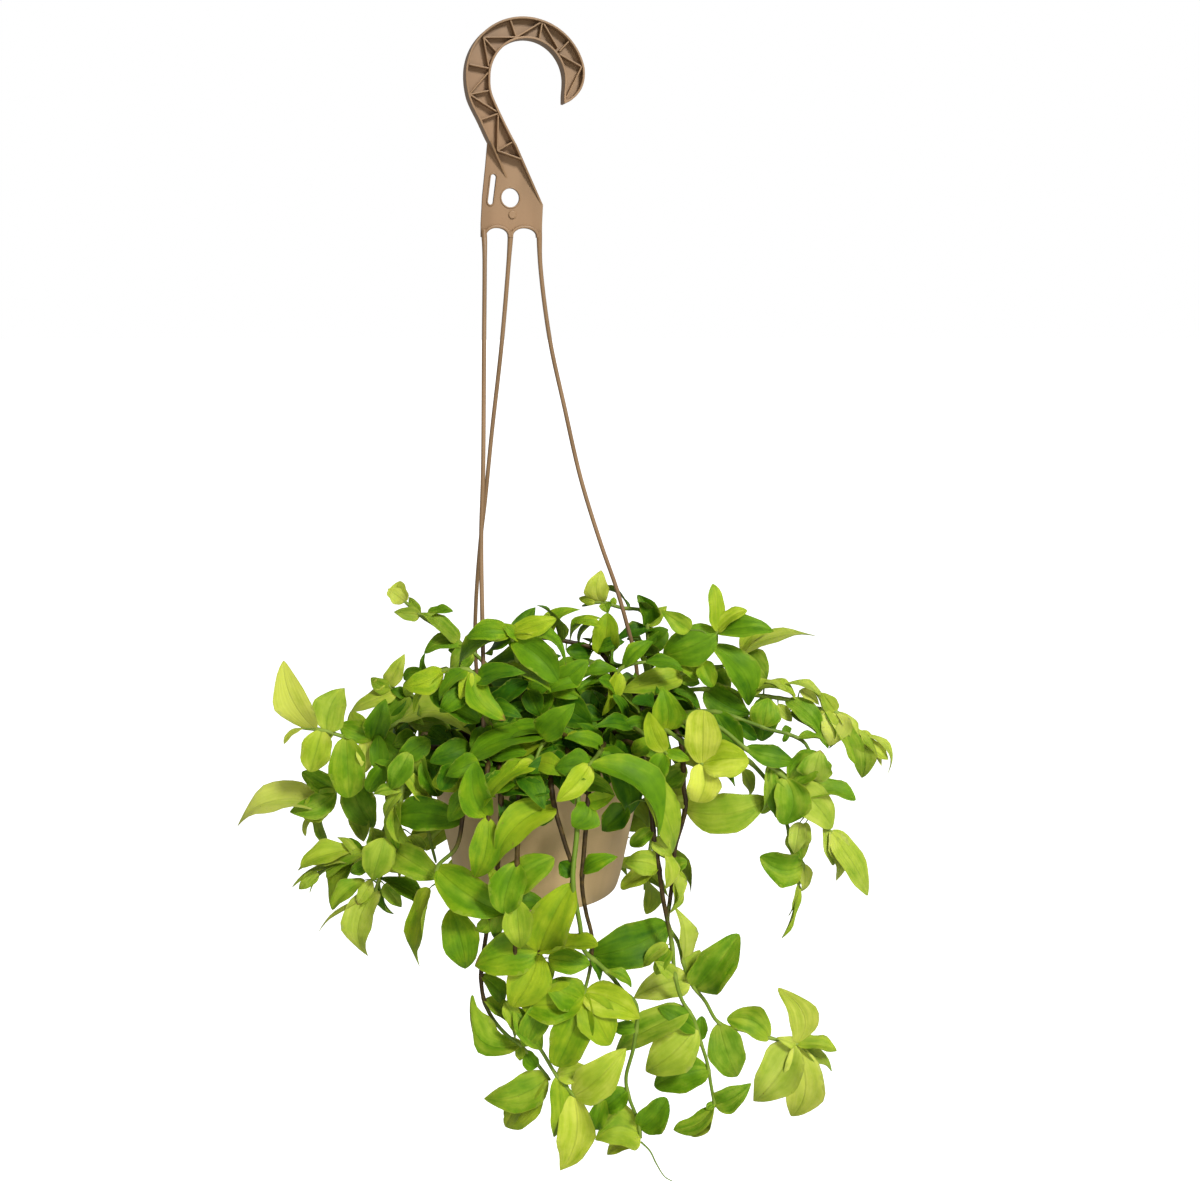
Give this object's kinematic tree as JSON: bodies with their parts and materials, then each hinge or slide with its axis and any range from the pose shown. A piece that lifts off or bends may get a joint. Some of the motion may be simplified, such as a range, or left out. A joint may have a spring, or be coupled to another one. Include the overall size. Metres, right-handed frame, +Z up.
{
  "type": "hanging potted tradescantia",
  "caption": "Tapered plastic hanging pot overflowing with trailing leafy tradescantia shoots, carried by a one-piece moulded hanger with a ribbed hook and thin wires.",
  "frame": {"origin": "the seat of the hook, at the inner top of its ring and half way through its depth, where the object hangs", "axes": "+Z up; +X to the right and -Y towards the viewer of the picture; the hook is turned 16 degrees about +Z"},
  "size_m": [0.4556, 0.2684, 0.7378],
  "materials": {
    "hanger_plastic": "satin",
    "pot_plastic": "satin",
    "soil": "matte",
    "foliage": "satin",
    "deep_foliage": "satin",
    "pale_foliage": "satin"
  },
  "bodies": {
    "root": {"hanger": "hanger_plastic", "pot": "pot_plastic", "soil": "soil", "shoot_back_01": "deep_foliage", "shoot_back_02": "foliage", "shoot_back_03": "deep_foliage", "shoot_back_04": "foliage", "shoot_back_05": "deep_foliage", "shoot_back_06": "foliage", "shoot_back_07": "deep_foliage", "shoot_back_08": "foliage", "shoot_back_09": "deep_foliage", "shoot_back_10": "foliage", "shoot_back_11": "deep_foliage", "shoot_back_12": "foliage", "shoot_back_13": "deep_foliage", "shoot_back_14": "foliage", "shoot_back_15": "deep_foliage", "shoot_back_16": "foliage", "shoot_back_17": "deep_foliage", "shoot_back_18": "foliage", "shoot_back_20": "foliage", "shoot_crown_front": "foliage", "shoot_crown_left": "foliage", "shoot_crown_left_low": "deep_foliage", "shoot_crown_mid": "deep_foliage", "shoot_crown_right": "deep_foliage", "shoot_front_brown": "foliage", "shoot_front_left": "foliage", "shoot_front_left_upright": "foliage", "shoot_front_mid": "foliage", "shoot_front_pale": "pale_foliage", "shoot_front_right_mid": "foliage", "shoot_front_second": "pale_foliage", "shoot_left_drop": "foliage", "shoot_left_drop_near": "foliage", "shoot_left_high": "pale_foliage", "shoot_left_low": "pale_foliage", "shoot_right_arm": "pale_foliage", "shoot_right_arm_low": "deep_foliage", "shoot_right_bud": "foliage", "shoot_right_fall": "deep_foliage", "shoot_right_fall_far": "foliage", "shoot_right_front": "foliage", "shoot_right_inner": "foliage", "shoot_right_long": "pale_foliage", "shoot_right_top": "foliage", "shoot_right_top_far": "foliage", "shoot_right_yellow": "pale_foliage", "shoot_top_brown": "foliage", "shoot_top_left_spray": "pale_foliage", "shoot_top_mid_left": "deep_foliage", "shoot_top_right_bud": "pale_foliage"}
  },
  "joints": []
}
